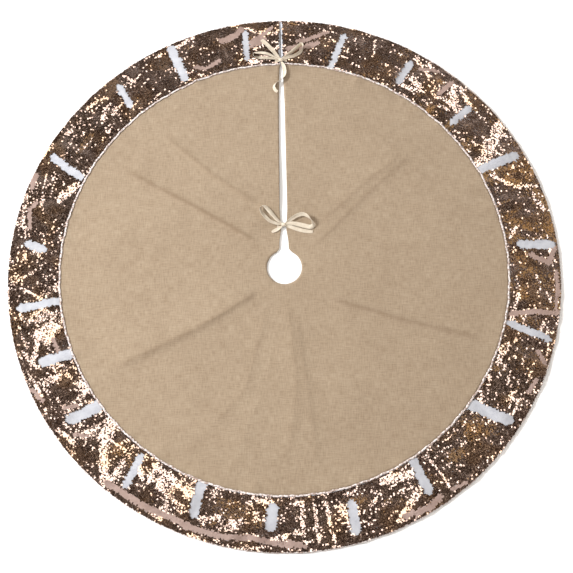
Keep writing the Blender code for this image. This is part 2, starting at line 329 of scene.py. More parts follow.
def crease(x, y, marks, rise, left, right, crease_shade):
    """The height that one crease adds, as a step along its run, and the shade painted there."""
    marks = np.array(marks) / 1000
    nearest = np.full(x.shape, np.inf)
    side, along, length = np.zeros_like(x), np.zeros_like(x), 0
    for (ax, ay), (bx, by) in zip(marks, marks[1:]):
        span = math.hypot(bx - ax, by - ay)
        east, north = (bx - ax) / span, (by - ay) / span
        reach = np.clip((x - ax) * east + (y - ay) * north, 0, span)
        away = np.hypot(x - ax - reach * east, y - ay - reach * north)
        closer = away < nearest
        nearest = np.where(closer, away, nearest)
        side = np.where(closer, east * (y - ay) - north * (x - ax), side)
        along = np.where(closer, length + reach, along)
        length += span
    away = np.sqrt(nearest**2 + CREASE_TOP**2) - CREASE_TOP
    ends = eased(along / length / CREASE_FADE) * eased((1 - along / length) / CREASE_FADE)
    step = rise / 1000 * np.exp(-away * 1000 / np.where(side > 0, left, right)) * ends
    return step, crease_shade * np.exp(-((nearest / CREASE_SHADE_WIDTH) ** 2)) * ends


def lie(x, y):
    """How far the cloth's underside lies above the floor."""
    radius, angle = np.hypot(x, y), np.arctan2(y, x)
    inner = eased((radius - HOLE) / FLAT_ROUND_HOLE)
    inner = inner * (1 - CALMED * eased((radius - CALM_FROM) / CALM_OVER))
    height = np.zeros_like(x)
    for *marks, rise, left, right, crease_shade in CREASES:
        height += inner * crease(x, y, marks, rise, left, right, crease_shade)[0]
    for wave_x, wave_y, rise, start in BILLOWS:
        height += rise * np.sin(wave_x * x + wave_y * y + start) * inner
    across_band = (radius - SEAM) / (RIM - SEAM)
    outer = eased((across_band + 0.5) / 0.9) * (1 - 0.6 * eased((across_band - 0.6) / 0.4))
    for count, lean, rise, start in RIPPLES:
        height += rise * np.sin(count * angle + lean * (radius - SEAM) + start) * outer
    height += EASED_HEIGHT * outer
    height = 0.5 * (height + np.sqrt(height**2 + SOFT_FLOOR**2))
    return height * (FOLD_SHARE + (1 - FOLD_SHARE) * eased(np.abs(y) / FLAT_BESIDE_FOLD))


def add_sheet(name, inner, outer, rings, spokes, low, thickness):
    """A layer of the skirt as one cloth: a grid wrapped from one slit edge to the other."""
    bpy.ops.object.select_all(action="DESELECT")
    bpy.ops.mesh.primitive_grid_add(x_subdivisions=spokes, y_subdivisions=rings, size=2)
    sheet = bpy.context.active_object
    sheet.name = name
    count = len(sheet.data.vertices)
    points = np.empty(count * 3)
    sheet.data.vertices.foreach_get("co", points)
    points = points.reshape(-1, 3)
    radius = inner + (outer - inner) * (points[:, 1] + 1) / 2
    cut = np.arcsin(np.interp(radius, CUT_RADII, CUT_HALVES) / radius)
    angle = math.pi / 2 - cut - (2 * math.pi - 2 * cut) * (points[:, 0] + 1) / 2
    points[:, 0] = radius * np.cos(angle)
    points[:, 1] = radius * np.sin(angle)
    points[:, 2] = low + lie(points[:, 0], points[:, 1])
    sheet.data.vertices.foreach_set("co", points.ravel())
    sheet.data.update()
    bpy.ops.object.modifier_add(type="SOLIDIFY")
    sheet.modifiers["Solidify"].thickness = thickness
    sheet.modifiers["Solidify"].offset = 1
    bpy.ops.object.modifier_apply(modifier="Solidify")
    sheet.data.shade_smooth()
    return sheet


lining_low, lining_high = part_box("lining_front")
lining = add_sheet("lining", HOLE, LINING_OUTER, 60, 300, 0.0, lining_high.z - lining_low.z)
cotton = Look("lining_cloth", LINING_WHITE, 0.85)
fibres = cotton.noise(cotton.stretched(cotton.place(), (900, 60, 1)), 1.0)
crossing = cotton.noise(cotton.stretched(cotton.place(), (60, 900, 1)), 1.0)
cotton.set("Base Color", cotton.blend((fibres + crossing) * 0.5, LINING_WHITE, LINING_SHADE))
cotton.bump(fibres + crossing, 0.3, 0.0003)
lining.data.materials.append(cotton.material)
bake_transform(lining)
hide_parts("lining_front", "lining_back_left", "lining_back_right")

# ---------------------------------------------------------------------------
# Burlap: the tan disc, woven from thick uneven yarns that show as fine streaks
# both ways. Along its creases, which run out from the hole, its colour is darkened with painted
# shade.
# ---------------------------------------------------------------------------
BURLAP_TAN = (0.352, 0.268, 0.181)
BURLAP_PALE = (0.482, 0.388, 0.284)
BURLAP_DARK = (0.195, 0.130, 0.078)
YARN_PITCH = 0.0017
YARN_WANDER = 0.0016
SLUB_LONG, SLUB_SHORT = 55, 470

burlap_low, burlap_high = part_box("burlap_front")
burlap = add_sheet("burlap", HOLE, SEAM, 88, 500, burlap_low.z, burlap_high.z - burlap_low.z)
x, y = np.array([vertex.co[:2] for vertex in burlap.data.vertices]).T
# Painted shade: how much each point of the burlap is darkened along the creases.
painted_shading = sum(
    crease(x, y, marks, rise, left, right, crease_shade)[1]
    for *marks, rise, left, right, crease_shade in CREASES
)
attribute = burlap.data.attributes.new("crease_shade", "FLOAT", "POINT")
attribute.data.foreach_set("value", painted_shading.astype(np.float32))
weave = Look("burlap_weave", BURLAP_TAN, 0.95, sheen_weight=0.25, sheen_roughness=0.5)
spot = weave.place()
slubs_across = weave.noise(weave.stretched(spot, (SLUB_LONG, SLUB_SHORT, 1)), 1.0, 3.0)
slubs_along = weave.noise(weave.stretched(spot, (SLUB_SHORT, SLUB_LONG, 1)), 1.0, 3.0)
wander = weave.noise(spot, 60.0) * YARN_WANDER
turns = 2 * math.pi / YARN_PITCH
east = weave.node("ShaderNodeSeparateXYZ", {}, {0: spot}, "X")
north = weave.node("ShaderNodeSeparateXYZ", {}, {0: spot}, "Y")
warp = ((east + wander) * turns).math("SINE")
weft = ((north + wander) * turns).math("SINE")
crossed = warp * weft * 0.5 + 0.5
streaks = (slubs_across + slubs_along) * 0.5
mottled = weave.noise(spot, 38.0, 3.0)
broad = weave.noise(spot, 7.0, 2.0)
yarn = weave.blend(streaks.clipped(0.38, 0.62), BURLAP_DARK, BURLAP_PALE)
tan = weave.blend(0.60, yarn, BURLAP_TAN)
# Painted shade along the creases, read from the cloth, darkens the tan on top of its random cloudy
# tone.
crease_shade = weave.node("ShaderNodeAttribute", {"attribute_name": "crease_shade"}, {}, "Fac")
cloudy = mottled.clipped(0.34, 0.66) * 0.16 + broad.clipped(0.3, 0.7) * 0.14
tan = weave.blend(cloudy + crease_shade, tan, BURLAP_DARK)
weave.set("Base Color", weave.blend(crossed.clipped(0.0, 0.3) * 0.35 + 0.65, BURLAP_DARK, tan))
weave.bump(crossed + streaks, 0.6, 0.0006)
burlap.data.materials.append(weave.material)
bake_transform(burlap)
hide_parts("burlap_front", "burlap_back_left", "burlap_back_right")

# ---------------------------------------------------------------------------
# Band cloth: the pale knit that carries the sequins. It is seen bare in the
# stripes and beside the slit, and it is eased round the rim in soft ripples.
# ---------------------------------------------------------------------------
BAND_WHITE = (0.46, 0.465, 0.495)
BAND_SHADE = (0.38, 0.385, 0.42)

band_low, band_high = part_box("band_cloth_front")
band = add_sheet("band_cloth", SEAM, BAND_OUTER, 26, 700, band_low.z, band_high.z - band_low.z)
knit = Look("band_knit", BAND_WHITE, 0.8, sheen_weight=0.2)
loops = knit.noise(knit.place(), 700.0, 2.0)
cloudy = knit.noise(knit.place(), 70.0, 3.0)
knit.set("Base Color", knit.blend(cloudy.clipped(0.35, 0.7), BAND_WHITE, BAND_SHADE))
knit.bump(loops, 0.5, 0.0004)
band.data.materials.append(knit.material)
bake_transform(band)
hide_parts("band_cloth_front", "band_cloth_back_left", "band_cloth_back_right")

# ---------------------------------------------------------------------------
# Seam trim and hem: a narrow blush cord laid over the seam between burlap and
# border, and the border's own edge rolled under at the rim. Both wander a little.
# ---------------------------------------------------------------------------
TRIM_BLUSH = (0.72, 0.66, 0.64)
TRIM_ROSE = (0.34, 0.24, 0.20)
TRIM_PLUMP = 1.35
CORD_SIDES = 6
CORD_STEPS = 2600
# How a cord wanders: how many waves go round, the share of each, and where it starts.
CORD_WANDER = ((61, 1.0, 0), (143, 0.7, 1), (369, 0.5, 0))


def add_rolled_edge(name, radius, low, width, height, wobble):
    """A soft round edge that goes once round the skirt from slit to slit."""
    bpy.ops.object.select_all(action="DESELECT")
    bpy.ops.mesh.primitive_cylinder_add(vertices=CORD_SIDES, radius=1, depth=2)
    edge = bpy.context.active_object
    edge.name = name
    mesh = edge.data
    cut = math.asin(np.interp(radius, CUT_RADII, CUT_HALVES) / radius)
    turn = np.linspace(math.pi / 2 - cut, cut - 1.5 * math.pi, CORD_STEPS)
    around = np.linspace(0, 2 * math.pi, CORD_SIDES, endpoint=False)
    waves = [share * np.sin(turn * count + start) for count, share, start in CORD_WANDER]
    wave = wobble * sum(waves)
    reach = radius + wave[:, None] + width / 2 * np.cos(around)[None, :]
    x, y = reach * np.cos(turn)[:, None], reach * np.sin(turn)[:, None]
    middle = lie(radius * np.cos(turn), radius * np.sin(turn))[:, None]
    z = low + middle + height / 2 * (1 + np.sin(around)[None, :])
    points = np.stack([x, y, z], axis=2).reshape(-1, 3)
    faces = []
    for ring in range(CORD_STEPS - 1):
        first, second = ring * CORD_SIDES, (ring + 1) * CORD_SIDES
        for i in range(CORD_SIDES):
            j = (i + 1) % CORD_SIDES
            faces.append((first + i, second + i, second + j, first + j))
    faces.append(tuple(range(CORD_SIDES)))
    faces.append(tuple(range((CORD_STEPS - 1) * CORD_SIDES, CORD_STEPS * CORD_SIDES))[::-1])
    mesh.clear_geometry()
    mesh.from_pydata(points.tolist(), [], faces)
    mesh.shade_smooth()
    return edge


blush = Look("blush_cord", TRIM_BLUSH, 0.6, sheen_weight=0.3)
twist = blush.noise(blush.place(), 260.0, 2.0)
blush.set("Base Color", blush.blend(twist.clipped(0.44, 0.58), TRIM_BLUSH, TRIM_ROSE))
blush.bump(twist, 0.6, 0.0005)

for layer, slot_name, wobble in (("seam_trim", "trim", 0.0006), ("hem", "hem", 0.0004)):
    low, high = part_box(layer + "_front")
    inner, outer = reach_of(layer + "_front")
    edge = add_rolled_edge(
        layer, (inner + outer) / 2, low.z, (outer - inner) * TRIM_PLUMP, high.z - low.z, wobble
    )
    edge.data.materials.append(blush.material)
    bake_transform(edge)
    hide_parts(*(f"{layer}_{part}" for part in ("front", "back_left", "back_right")))

# ---------------------------------------------------------------------------
# Sequins: tens of thousands of discs in rows round the border, each sewn by one edge
# and lapped over the next. They are mirror-bright rose brown on one face and matt
# blush on the other, and a hand has brushed some of them over.
# ---------------------------------------------------------------------------
SEQUIN_RADIUS = 0.0023
SEQUIN_THICKNESS = 0.0002
SEQUIN_DOME = 0.00007
ROW_PITCH = 0.0029
ACROSS_PITCH = 0.0033
SHINGLE_LEAN = math.radians(7)
LOOSE_LEAN = math.radians(2.6)
STRAY_SHARE = 0.20
STRAY_LEAN = math.radians(11)
SEQUIN_LIFT = 0.0008
NAP_LEAN = math.radians(18)
NAP_WAVELENGTH = 0.050
NAP_PLANES = (0.3, 4.1)
PRESSED_LEAN = 0.25
SMOOTH_LEAN = math.radians(3.4)
SCATTER = 0.00035
RAGGED = 0.0013
FIRST_ROW = 0.0042
LAST_ROW = 0.0012
SLIT_MARGIN = 0.0030
SLOPE_STEP = 0.0015
TOP_ON_MAP, FOOT_ON_MAP = 0.44, 0.36
STRIPE_TAPER = 0.009
NARROWEST_STRIPE = 0.012
FOLDING_PANELS = ("sequin_panel_01", "sequin_panel_12", "sequin_panel_13", "sequin_panel_23")
ROSE_BROWN = (0.31, 0.235, 0.200)
ROSE_DEEP = (0.22, 0.155, 0.125)
BRONZE = (0.31, 0.207, 0.142)
BLUSH_BACK = (0.34, 0.240, 0.205)

# How far each bare stripe reaches, inner and outer, in millimetres from the seam.
STRIPE_REACH = (
    (22, 110), (0, 102), (15, 84), (20, 92), (0, 98), (14, 96), (10, 114), (25, 95),
    (5, 102), (32, 86), (0, 98), (0, 76), (0, 80), (8, 90), (0, 78), (14, 72),
    (24, 98), (0, 84), (0, 98), (3, 107),
)  # fmt: skip

# Strokes brushed over by hand: each a run of (degrees, millimetres from the seam)
# and how wide the stroke is there, in millimetres.
STROKES = (
    ((99, 98), (101, 84), (104, 80), 16),
    ((97.5, 60), (93.5, 84), (92, 96), 9),
    ((97, 52), (94, 66), 14),
    ((86, 60), (83, 70), (79, 92), 9),
    ((88, 40), (84, 48), (81, 60), 12),
    ((106, 30), (110, 22), (112, 34), 9),
    ((158, 108), (161, 104), 12),
    ((56, 82), (52, 100), 8),
    ((170, 80), (166, 92), (164, 84), 9),
    ((197, 30), (201, 28), 8),
    ((2, 52), (0, 90), (3, 104), 11),
    ((-11, 108), (-11.5, 60), (-13, 12), 11),
    ((48, 98), (48.5, 58), 11),
    ((272, 100), (270, 92), 11),
    ((350, 104), (356, 106), 7),
    ((-20, 84), (-22, 104), 9),
    ((-2, 104), (-7, 108), 8),
    ((231, 100), (239, 97), (245, 92), (250, 96), 13),
    ((250, 96), (257, 95), (262, 88), (266, 94), (273, 102), 12),
    ((219, 80), (221, 60), 8),
    ((206, 108), (209, 98), 9),
    ((213, 64), (214, 40), 8),
    ((294, 96), (299, 104), (302, 98), 13),
    ((305, 100), (308, 106), 8),
    ((-26, 100), (-29, 96), 8),
)

# Streaks that a palm has smoothed, where the sequins lie alike and catch the softbox,
# given in the same way.
SMOOTHED = (
    ((33.5, 100), (31, 66), (27.5, 12), 24),
    ((29, 30), (26, 14), 16),
    ((24, 20), (19, 60), (17.5, 104), 7),
    ((47, 92), (44, 62), (41, 50), 16),
    ((46, 102), (41, 82), 10),
    ((58, 100), (53, 78), 9),
    ((56, 50), (53, 40), 16),
    ((58, 22), (54, 28), 10),
    ((68, 100), (67, 60), 5),
    ((15, 90), (12, 102), 8),
    ((9, 30), (7, 12), 7),
    ((170, 98), (163, 108), 8),
    ((162, 34), (157, 12), 15),
    ((139, 100), (134, 86), 8),
    ((128, 104), (127, 74), 6),
    ((114, 100), (110, 108), 8),
    ((98, 12), (93, 20), 14),
    ((98, 100), (96, 90), 8),
    ((249, 38), (243, 22), (237, 14), 15),
    ((247, 62), (243, 56), (239, 44), 8),
    ((236, 50), (233, 24), (234, 12), 12),
    ((255, 58), (251, 74), 10),
    ((230, 98), (226, 62), (222, 14), 20),
    ((220, 92), (216, 100), 10),
    ((217, 44), (215, 16), 7),
    ((201, 88), (196, 60), (193, 26), 11),
    ((198, 48), (194, 14), 12),
    ((192, 76), (190, 54), (188, 26), 9),
    ((208, 96), (204, 100), 7),
    ((187, 40), (184, 84), 6),
    ((182, 92), (180.5, 60), 6),
    ((300, 58), (297, 74), (293, 98), 15),
    ((300, 26), (293, 14), 17),
    ((291, 34), (288, 50), 7),
    ((283, 94), (282, 26), 10),
    ((279, 100), (278.5, 18), 7),
    ((276, 96), (276, 20), 8),
    ((273, 82), (273, 16), 9),
    ((305, 92), (305, 18), 5),
    ((352, 20), (345, 12), 9),
    ((339, 18), (334, 12), 12),
    ((325, 14), (321, 26), 8),
    ((329, 92), (327, 60), 5),
    ((266, 14), (262, 10), 9),
)
# Sequins that glint alone: along streaks that slant across the border and wave round
# it, and fewer of them where the cloth is pressed flat.
STREAK_LONG, STREAK_WIDE = 0.026, 0.0065
STREAK_SLANT = 0.7
STREAK_WAVES, STREAK_WAVE_HEIGHT = 11, 0.010
GLINT_GAIN = 1.9
GLINT_FLOOR = 0.15
FEWEST_GLINTS = 0.025
GLINTS_WHERE_PRESSED = 0.4

# Areas that lean the other way and catch the amber panel, and wide ones that lie flat
# and dark: degrees round, millimetres from the seam, and half the reach round and out.
LEANING = (
    (257, 38, 38, 20), (254, 72, 12, 8), (318, 38, 34, 18), (320, 66, 24, 9),
    (228, 36, 16, 15), (40, 86, 12, 6), (310, 50, 24, 14), (264, 60, 16, 8),
    (292, 56, 13, 7), (355, 62, 9, 6), (50, 84, 10, 6), (112, 88, 9, 6),
    (146, 46, 30, 9), (273, 72, 11, 6), (286, 30, 20, 10), (97, 64, 6, 16),
    (232, 42, 9, 10), (87, 104, 12, 4), (216, 52, 8, 12), (26, 66, 10, 6),
)  # fmt: skip
PRESSED = (
    (12, 52, 60, 42), (21, 35, 25, 28), (36, 58, 30, 50), (51.5, 45, 16, 36),
    (67, 58, 75, 52), (81, 56, 30, 52), (87, 70, 30, 26), (107, 50, 60, 46),
    (124, 42, 58, 34), (147, 40, 55, 32), (158, 32, 18, 28), (169, 45, 50, 36),
    (182, 45, 55, 36), (210, 45, 28, 38), (257.5, 40, 52, 36), (275.5, 60, 15, 50),
    (288, 52, 25, 46), (312, 60, 75, 48), (335, 65, 60, 32), (352, 50, 65, 34),
)  # fmt: skip

# Strokes and areas are full out to this share of their reach, and fray beyond it.
FULL_WITHIN = 0.7
STROKE_FRAY, AREA_FRAY = 0.6, 0.5

draw = np.random.default_rng(20)


def panel_ends(node):
    """The angles of a panel's start and end, at its inner edge and then at its outer one."""
    points = np.array([vertex.co[:2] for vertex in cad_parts[node].data.vertices])
    radii = np.hypot(points[:, 0], points[:, 1])
    angles = np.arctan2(points[:, 1], points[:, 0]) % (2 * math.pi)
    near = radii < (radii.min() + radii.max()) / 2
    inner, outer = angles[near], angles[~near]
    return inner.min(), inner.max(), outer.min(), outer.max()


panels = sorted(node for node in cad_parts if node.startswith("sequin_panel"))
ends = [panel_ends(node) for node in panels]
PANEL_INNER, PANEL_OUTER = reach_of(panels[0])


def end_angle(panel, side, radius):
    """The angle of a panel's start, side 0, or its end, side 1, at a radius."""
    share = (radius - PANEL_INNER) / (PANEL_OUTER - PANEL_INNER)
    inner, outer = ends[panel][side], ends[panel][side + 2]
    return inner + (outer - inner) * share


def gap_after(panel, radius):
    """The angles at which the gap after a panel starts and ends."""
    following = (panel + 1) % len(panels)
    lap = 2 * math.pi if following == 0 else 0
    return end_angle(panel, 1, radius), end_angle(following, 0, radius) + lap


def is_stripe(panel):
    start, end = gap_after(panel, PANEL_INNER)
    return (end - start) * PANEL_INNER > NARROWEST_STRIPE


striped = [panel for panel in range(len(panels)) if is_stripe(panel)]


def bare_share(reach, radius):
    """How much of a stripe's width is bare at a radius, from 0 to 1."""
    depth = radius - SEAM
    opening = 1 if reach[0] == 0 else (depth - reach[0] / 1000) / STRIPE_TAPER
    closing = (reach[1] / 1000 - depth) / STRIPE_TAPER
    return math.sqrt(min(max(min(opening, closing), 0), 1))


def stroked(strokes, x, y):
    """Which sequins lie in one of the strokes."""
    inside = np.zeros(len(x), bool)
    for *marks, width in strokes:
        turns = np.radians([turn for turn, _ in marks])
        reach = SEAM + np.array([depth for _, depth in marks]) / 1000
        line = np.stack([reach * np.cos(turns), reach * np.sin(turns)], axis=1)
        ragged = width / 2000 * (FULL_WITHIN + STROKE_FRAY * draw.random(len(x)))
        for (ax, ay), (bx, by) in zip(line, line[1:]):
            length = (bx - ax) ** 2 + (by - ay) ** 2
            along = np.clip(((x - ax) * (bx - ax) + (y - ay) * (by - ay)) / length, 0, 1)
            away = np.hypot(x - ax - along * (bx - ax), y - ay - along * (by - ay))
            inside |= away < ragged
    return inside


def within(areas, x, y):
    """Which sequins lie in one of the areas, whose edges are ragged."""
    inside = np.zeros(len(x), bool)
    for degrees, depth, half_round, half_out in areas:
        turn, reach = math.radians(degrees), SEAM + depth / 1000
        out = x * math.cos(turn) + y * math.sin(turn) - reach
        side = y * math.cos(turn) - x * math.sin(turn)
        away = np.hypot(side / half_round, out / half_out) * 1000
        inside |= away < FULL_WITHIN + AREA_FRAY * draw.random(len(x))
    return inside


def nap(x, y):
    """A lean that changes slowly over the cloth, as hands and folding have left it."""
    places = np.stack([x / NAP_WAVELENGTH, y / NAP_WAVELENGTH], axis=1)
    leans = [[noise.noise((*place, plane)) for plane in NAP_PLANES] for place in places]
    return np.array(leans) * NAP_LEAN


def glinting(x, y):
    """Which sequins glint alone."""
    depth, turn = np.hypot(x, y) - SEAM, np.arctan2(y, x)
    along = turn * SEAM + STREAK_SLANT * depth
    out = depth + STREAK_WAVE_HEIGHT * np.sin(turn * STREAK_WAVES)
    streaks = [noise.noise((a / STREAK_LONG, b / STREAK_WIDE, 7.5)) for a, b in zip(along, out)]
    chance = np.clip((np.array(streaks) - GLINT_FLOOR) * GLINT_GAIN, FEWEST_GLINTS, 1)
    chance[within(PRESSED, x, y)] *= GLINTS_WHERE_PRESSED
    return draw.random(len(x)) < chance


bpy.ops.object.select_all(action="DESELECT")
bpy.ops.mesh.primitive_cylinder_add(
    vertices=8, radius=SEQUIN_RADIUS, depth=SEQUIN_THICKNESS, end_fill_type="TRIFAN"
)
one_sequin = bpy.context.active_object
for vertex in one_sequin.data.vertices:
    if vertex.co.xy.length < SEQUIN_RADIUS / 2:
        vertex.co.z += SEQUIN_DOME
SEQUIN_POINTS = np.array([vertex.co[:] for vertex in one_sequin.data.vertices])
SEQUIN_FACES = np.array([vertex for face in one_sequin.data.polygons for vertex in face.vertices])
SEQUIN_SIDES = np.array([len(face.vertices) for face in one_sequin.data.polygons])
bpy.data.objects.remove(one_sequin, do_unlink=True)


def turned(frames, axis, angle):
    """Frames of three unit vectors, each turned about one of its own axes."""
    first, second = frames[(axis + 1) % 3], frames[(axis + 2) % 3]
    cosine, sine = np.cos(angle)[:, None], np.sin(angle)[:, None]
    result = list(frames)
    result[(axis + 1) % 3] = first * cosine + second * sine
    result[(axis + 2) % 3] = second * cosine - first * sine
    return result


def facing(lamp, frames, place, chosen):
    """The frames with those of the chosen sequins turned to shine a lamp back."""
    to_lamp = np.array(lamp) - place
    to_lamp /= np.linalg.norm(to_lamp, axis=1)[:, None]
    to_eye = np.array(camera.location) - place
    to_eye /= np.linalg.norm(to_eye, axis=1)[:, None]
    up = to_lamp + to_eye + 2 * math.tan(SMOOTH_LEAN) * draw.normal(size=place.shape)
    up /= np.linalg.norm(up, axis=1)[:, None]
    side = np.cross(up, frames[0])
    side /= np.linalg.norm(side, axis=1)[:, None]
    shining = [np.cross(side, up), side, up]
    return [np.where(chosen[:, None], new, old) for new, old in zip(shining, frames)]


def add_sequins(name, x, y, top):
    """All the sequins of one panel, as one mesh of separate discs."""
    count = len(x)
    slope_x = (lie(x + SLOPE_STEP, y) - lie(x - SLOPE_STEP, y)) / (2 * SLOPE_STEP)
    slope_y = (lie(x, y + SLOPE_STEP) - lie(x, y - SLOPE_STEP)) / (2 * SLOPE_STEP)
    up = np.stack([-slope_x, -slope_y, np.ones(count)], axis=1)
    up /= np.linalg.norm(up, axis=1)[:, None]
    out = np.stack([x, y, np.zeros(count)], axis=1)
    side = np.cross(up, out)
    side /= np.linalg.norm(side, axis=1)[:, None]
    out = np.cross(side, up)
    over = stroked(STROKES, x, y)
    stray = draw.random(count) < STRAY_SHARE
    loose = np.where(stray, STRAY_LEAN, LOOSE_LEAN)
    lean = nap(x, y)
    lean[within(PRESSED, x, y)] *= PRESSED_LEAN
    lean_out = np.where(over, -SHINGLE_LEAN, SHINGLE_LEAN) + lean[:, 0]
    frames = turned([out, side, up], 1, lean_out + draw.normal(size=count) * loose)
    frames = turned(frames, 0, lean[:, 1] + draw.normal(size=count) * loose)
    frames = turned(frames, 2, draw.random(count) * math.pi / 4)
    place = np.stack([x, y, top + SEQUIN_LIFT + lie(x, y)], axis=1)
    settled = ~over & ~stray
    frames = facing(AMBER_PANEL, frames, place, within(LEANING, x, y) & settled)
    shining = stroked(SMOOTHED, x, y) | glinting(x, y)
    frames = facing(SOFTBOX, frames, place, shining & settled)
    points = place[:, None, :] + sum(
        SEQUIN_POINTS[None, :, k, None] * frames[k][:, None, :] for k in range(3)
    )
    points[:, :, 2] = np.maximum(points[:, :, 2], SEQUIN_THICKNESS)
    each = len(SEQUIN_POINTS)
    corners = (np.arange(count)[:, None] * each + SEQUIN_FACES[None, :]).ravel()
    sides = np.tile(SEQUIN_SIDES, count)
    starts = np.concatenate([[0], np.cumsum(sides)[:-1]])
    mesh = bpy.data.meshes.new(name)
    mesh.vertices.add(count * each)
    mesh.vertices.foreach_set("co", points.ravel())
    mesh.loops.add(len(corners))
    mesh.loops.foreach_set("vertex_index", corners.astype(np.int32))
    mesh.polygons.add(len(sides))
    mesh.polygons.foreach_set("loop_start", starts.astype(np.int32))
    # Each disc has its own square of the map, so that its colour stays its own when baked.
    columns = math.ceil(math.sqrt(count))
    cell = np.stack([np.arange(count) % columns, np.arange(count) // columns], axis=1)
    reach = np.where(SEQUIN_POINTS[:, 2] > 0, TOP_ON_MAP, FOOT_ON_MAP)[:, None]
    spot = cell[:, None, :] + 0.5 + SEQUIN_POINTS[None, :, :2] / SEQUIN_RADIUS * reach
    layer = mesh.uv_layers.new(name="OFBake")
    layer.data.foreach_set("uv", (spot / columns).reshape(-1, 2)[corners].ravel())
    for label, values in (("brushed", over.astype(float)), ("shade", draw.random(count))):
        attribute = mesh.attributes.new(label, "FLOAT", "FACE")
        attribute.data.foreach_set("value", np.repeat(values, len(SEQUIN_SIDES)).astype(np.float32))
    mesh.update(calc_edges=True)
    mesh.validate()
    mesh.shade_flat()
    obj = bpy.data.objects.new(name, mesh)
    bpy.context.scene.collection.objects.link(obj)
    return obj


foil = Look("sequin_foil", ROSE_BROWN, 0.16, metallic=1.0)
over = foil.node("ShaderNodeAttribute", {"attribute_name": "brushed"}, {}, "Fac")
shade = foil.node("ShaderNodeAttribute", {"attribute_name": "shade"}, {}, "Fac")
drift = foil.noise(foil.place(), 16.0, 3.0)
mirror = foil.blend(shade, ROSE_DEEP, ROSE_BROWN)
mirror = foil.blend(drift.clipped(0.49, 0.62), mirror, BRONZE)
foil.set("Base Color", foil.blend(over, mirror, BLUSH_BACK))
foil.set("Metallic", 1.0 - over * 0.92)
foil.set("Roughness", over * 0.34 + shade * 0.06 + 0.08)

spots = [[] for _ in panels]
rows = np.arange(SEAM + FIRST_ROW, RIM - LAST_ROW, ROW_PITCH)
for row, radius in enumerate(rows):
    places = round(2 * math.pi * radius / ACROSS_PITCH)
    turn = (np.arange(places) + 0.5 * (row % 2)) * 2 * math.pi / places
    turn += draw.normal(size=places) * SCATTER / radius
    reach = radius + draw.normal(size=places) * SCATTER
    x, y = reach * np.cos(turn), reach * np.sin(turn)
    slit = np.interp(radius, CUT_RADII, CUT_HALVES) + SLIT_MARGIN
    kept = (np.abs(x) > slit) | (y < 0)
    starts = [gap_after(panel, radius) for panel in range(len(panels))]
    for panel, stripe in zip(striped, STRIPE_REACH):
        start, end = starts[panel]
        bare = (end - start) / 2 * bare_share(stripe, radius)
        ragged = draw.normal(size=2) * RAGGED / radius if bare else (0, 0)
        middle = (start + end) / 2
        away = (turn - middle + math.pi) % (2 * math.pi) - math.pi
        kept &= (away < ragged[0] - bare) | (away > bare + ragged[1])
    middles = np.array([(start + end) / 2 for start, end in starts[:-1]])
    owner = np.searchsorted(middles, turn % (2 * math.pi))
    for panel in range(len(panels)):
        mine = kept & (owner == panel)
        spots[panel].append(np.stack([x[mine], y[mine]], axis=1))

for node, found in zip(panels, spots):
    x, y = np.concatenate(found).T
    sequins = add_sequins(node.replace("_panel", "s"), x, y, band_high.z)
    sequins.data.materials.append(foil.material)
    if node in FOLDING_PANELS:
        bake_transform(sequins)
    else:
        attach(sequins, "back_half" if y.mean() > 0 else "front_half")
    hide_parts(node)

# ---------------------------------------------------------------------------
# Ribbons: two cream satin bows tie the flaps shut, one above the hole and one on
# the seam. Each has two short ties sewn under the flaps, two loops, two tails and
# the knot that holds them.
# ---------------------------------------------------------------------------
RIBBON_CREAM = (0.67, 0.59, 0.475)
RIBBON_LIGHT = (0.80, 0.755, 0.67)
RIBBON_SHADE = (0.40, 0.325, 0.24)
RIBBON_THICKNESS = 0.00035
RIBBON_CELLS = 8
STEPS_PER_SPAN = 14
RIBBON_CUP = 0.10
RIB_PITCH = 0.0007
KNOT_SQUARENESS = 0.8

satin = Look("ribbon_satin", RIBBON_CREAM, 0.36, sheen_weight=0.35, sheen_roughness=0.35)
across = satin.node("ShaderNodeAttribute", {"attribute_name": "across"}, {}, "Fac")
along = satin.node("ShaderNodeAttribute", {"attribute_name": "along"}, {}, "Fac")
run = satin.node("ShaderNodeCombineXYZ", {}, {"X": across * 9.0, "Y": along * 60.0})
streak = satin.noise(run, 1.0, 3.0)
selvedge = across.math("ABSOLUTE").clipped(0.80, 0.92)
cream = satin.blend(streak.clipped(0.35, 0.7), RIBBON_SHADE, RIBBON_CREAM)
cream = satin.blend(selvedge * 0.6, satin.blend(0.5, cream, RIBBON_CREAM), RIBBON_LIGHT)
satin.set("Base Color", cream)
ribs = (along * (2 * math.pi / RIB_PITCH)).math("SINE")
satin.bump(ribs * 0.3 + streak + selvedge, 0.35, 0.0004)


def smooth_route(rows):
    """The rows as a smooth run through each of them, with STEPS_PER_SPAN steps between two."""
    rows = np.array(rows, float)
    padded = np.concatenate([[2 * rows[0] - rows[1]], rows, [2 * rows[-1] - rows[-2]]])
    share = np.linspace(0, 1, STEPS_PER_SPAN, endpoint=False)[:, None]
    spans = []
    for a, b, c, d in zip(padded, padded[1:], padded[2:], padded[3:]):
        slope = (c - a) / 2 * share
        bend = (2 * a - 5 * b + 4 * c - d) / 2 * share**2
        twist = (3 * b - a - 3 * c + d) / 2 * share**3
        spans.append(b + slope + bend + twist)
    return np.concatenate([*spans, rows[-1:]])


